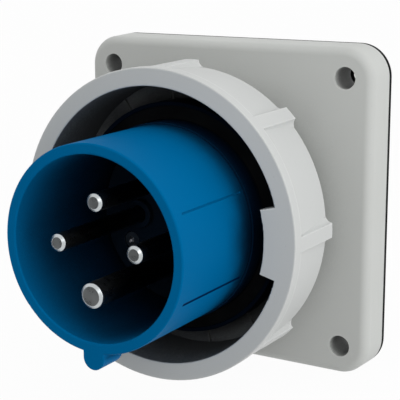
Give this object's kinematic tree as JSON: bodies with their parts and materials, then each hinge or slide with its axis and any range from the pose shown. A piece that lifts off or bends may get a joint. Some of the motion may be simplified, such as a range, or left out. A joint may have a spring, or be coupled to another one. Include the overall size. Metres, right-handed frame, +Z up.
{
  "type": "pin and sleeve inlet",
  "caption": "Panel-mounted pin and sleeve power inlet: square flange, turned contact pins in a keyed round shroud, and a turning bayonet ring that locks the connector.",
  "frame": {"origin": "centre of the mounting plane, on the axis of the pins", "axes": "-Y points out of the mouth, +Z is up with the key at the bottom, +X is to the right as seen from the front"},
  "size_m": [0.098, 0.0817, 0.098],
  "materials": {
    "housing_plastic": "moulded, fine satin",
    "ring_plastic": "moulded, fine satin",
    "shroud_plastic": "moulded, satin",
    "gasket_rubber": "matt",
    "carrier_plastic": "moulded, satin",
    "block_plastic": "moulded, fine satin",
    "contact_metal": "nickel-plated, turned",
    "screw_steel": "zinc-plated"
  },
  "bodies": {
    "inlet": {"flange_housing": "housing_plastic", "panel_gasket": "gasket_rubber", "shroud": "shroud_plastic", "shroud_screws": "screw_steel", "shroud_seal": "gasket_rubber", "face_gasket": "gasket_rubber", "contact_carrier": "carrier_plastic", "carrier_seal": "gasket_rubber", "carrier_screws": "screw_steel", "terminal_block": "block_plastic", "block_screw": "screw_steel", "pin_l1": "contact_metal", "pin_l2": "contact_metal", "pin_l3": "contact_metal", "pin_earth": "contact_metal", "phase_terminal_screws": "screw_steel", "earth_terminal_screw": "screw_steel", "phase_clamp_plates": "screw_steel", "earth_clamp_plate": "screw_steel"},
    "ring": {"bayonet_ring": "ring_plastic"}
  },
  "joints": [
    {"name": "ring_turn", "type": "hinge", "parent": "inlet", "child": "ring", "pos_m": [0, -0.041, 0], "axis": [0, -1, 0], "range_deg": [0, 45]}
  ]
}
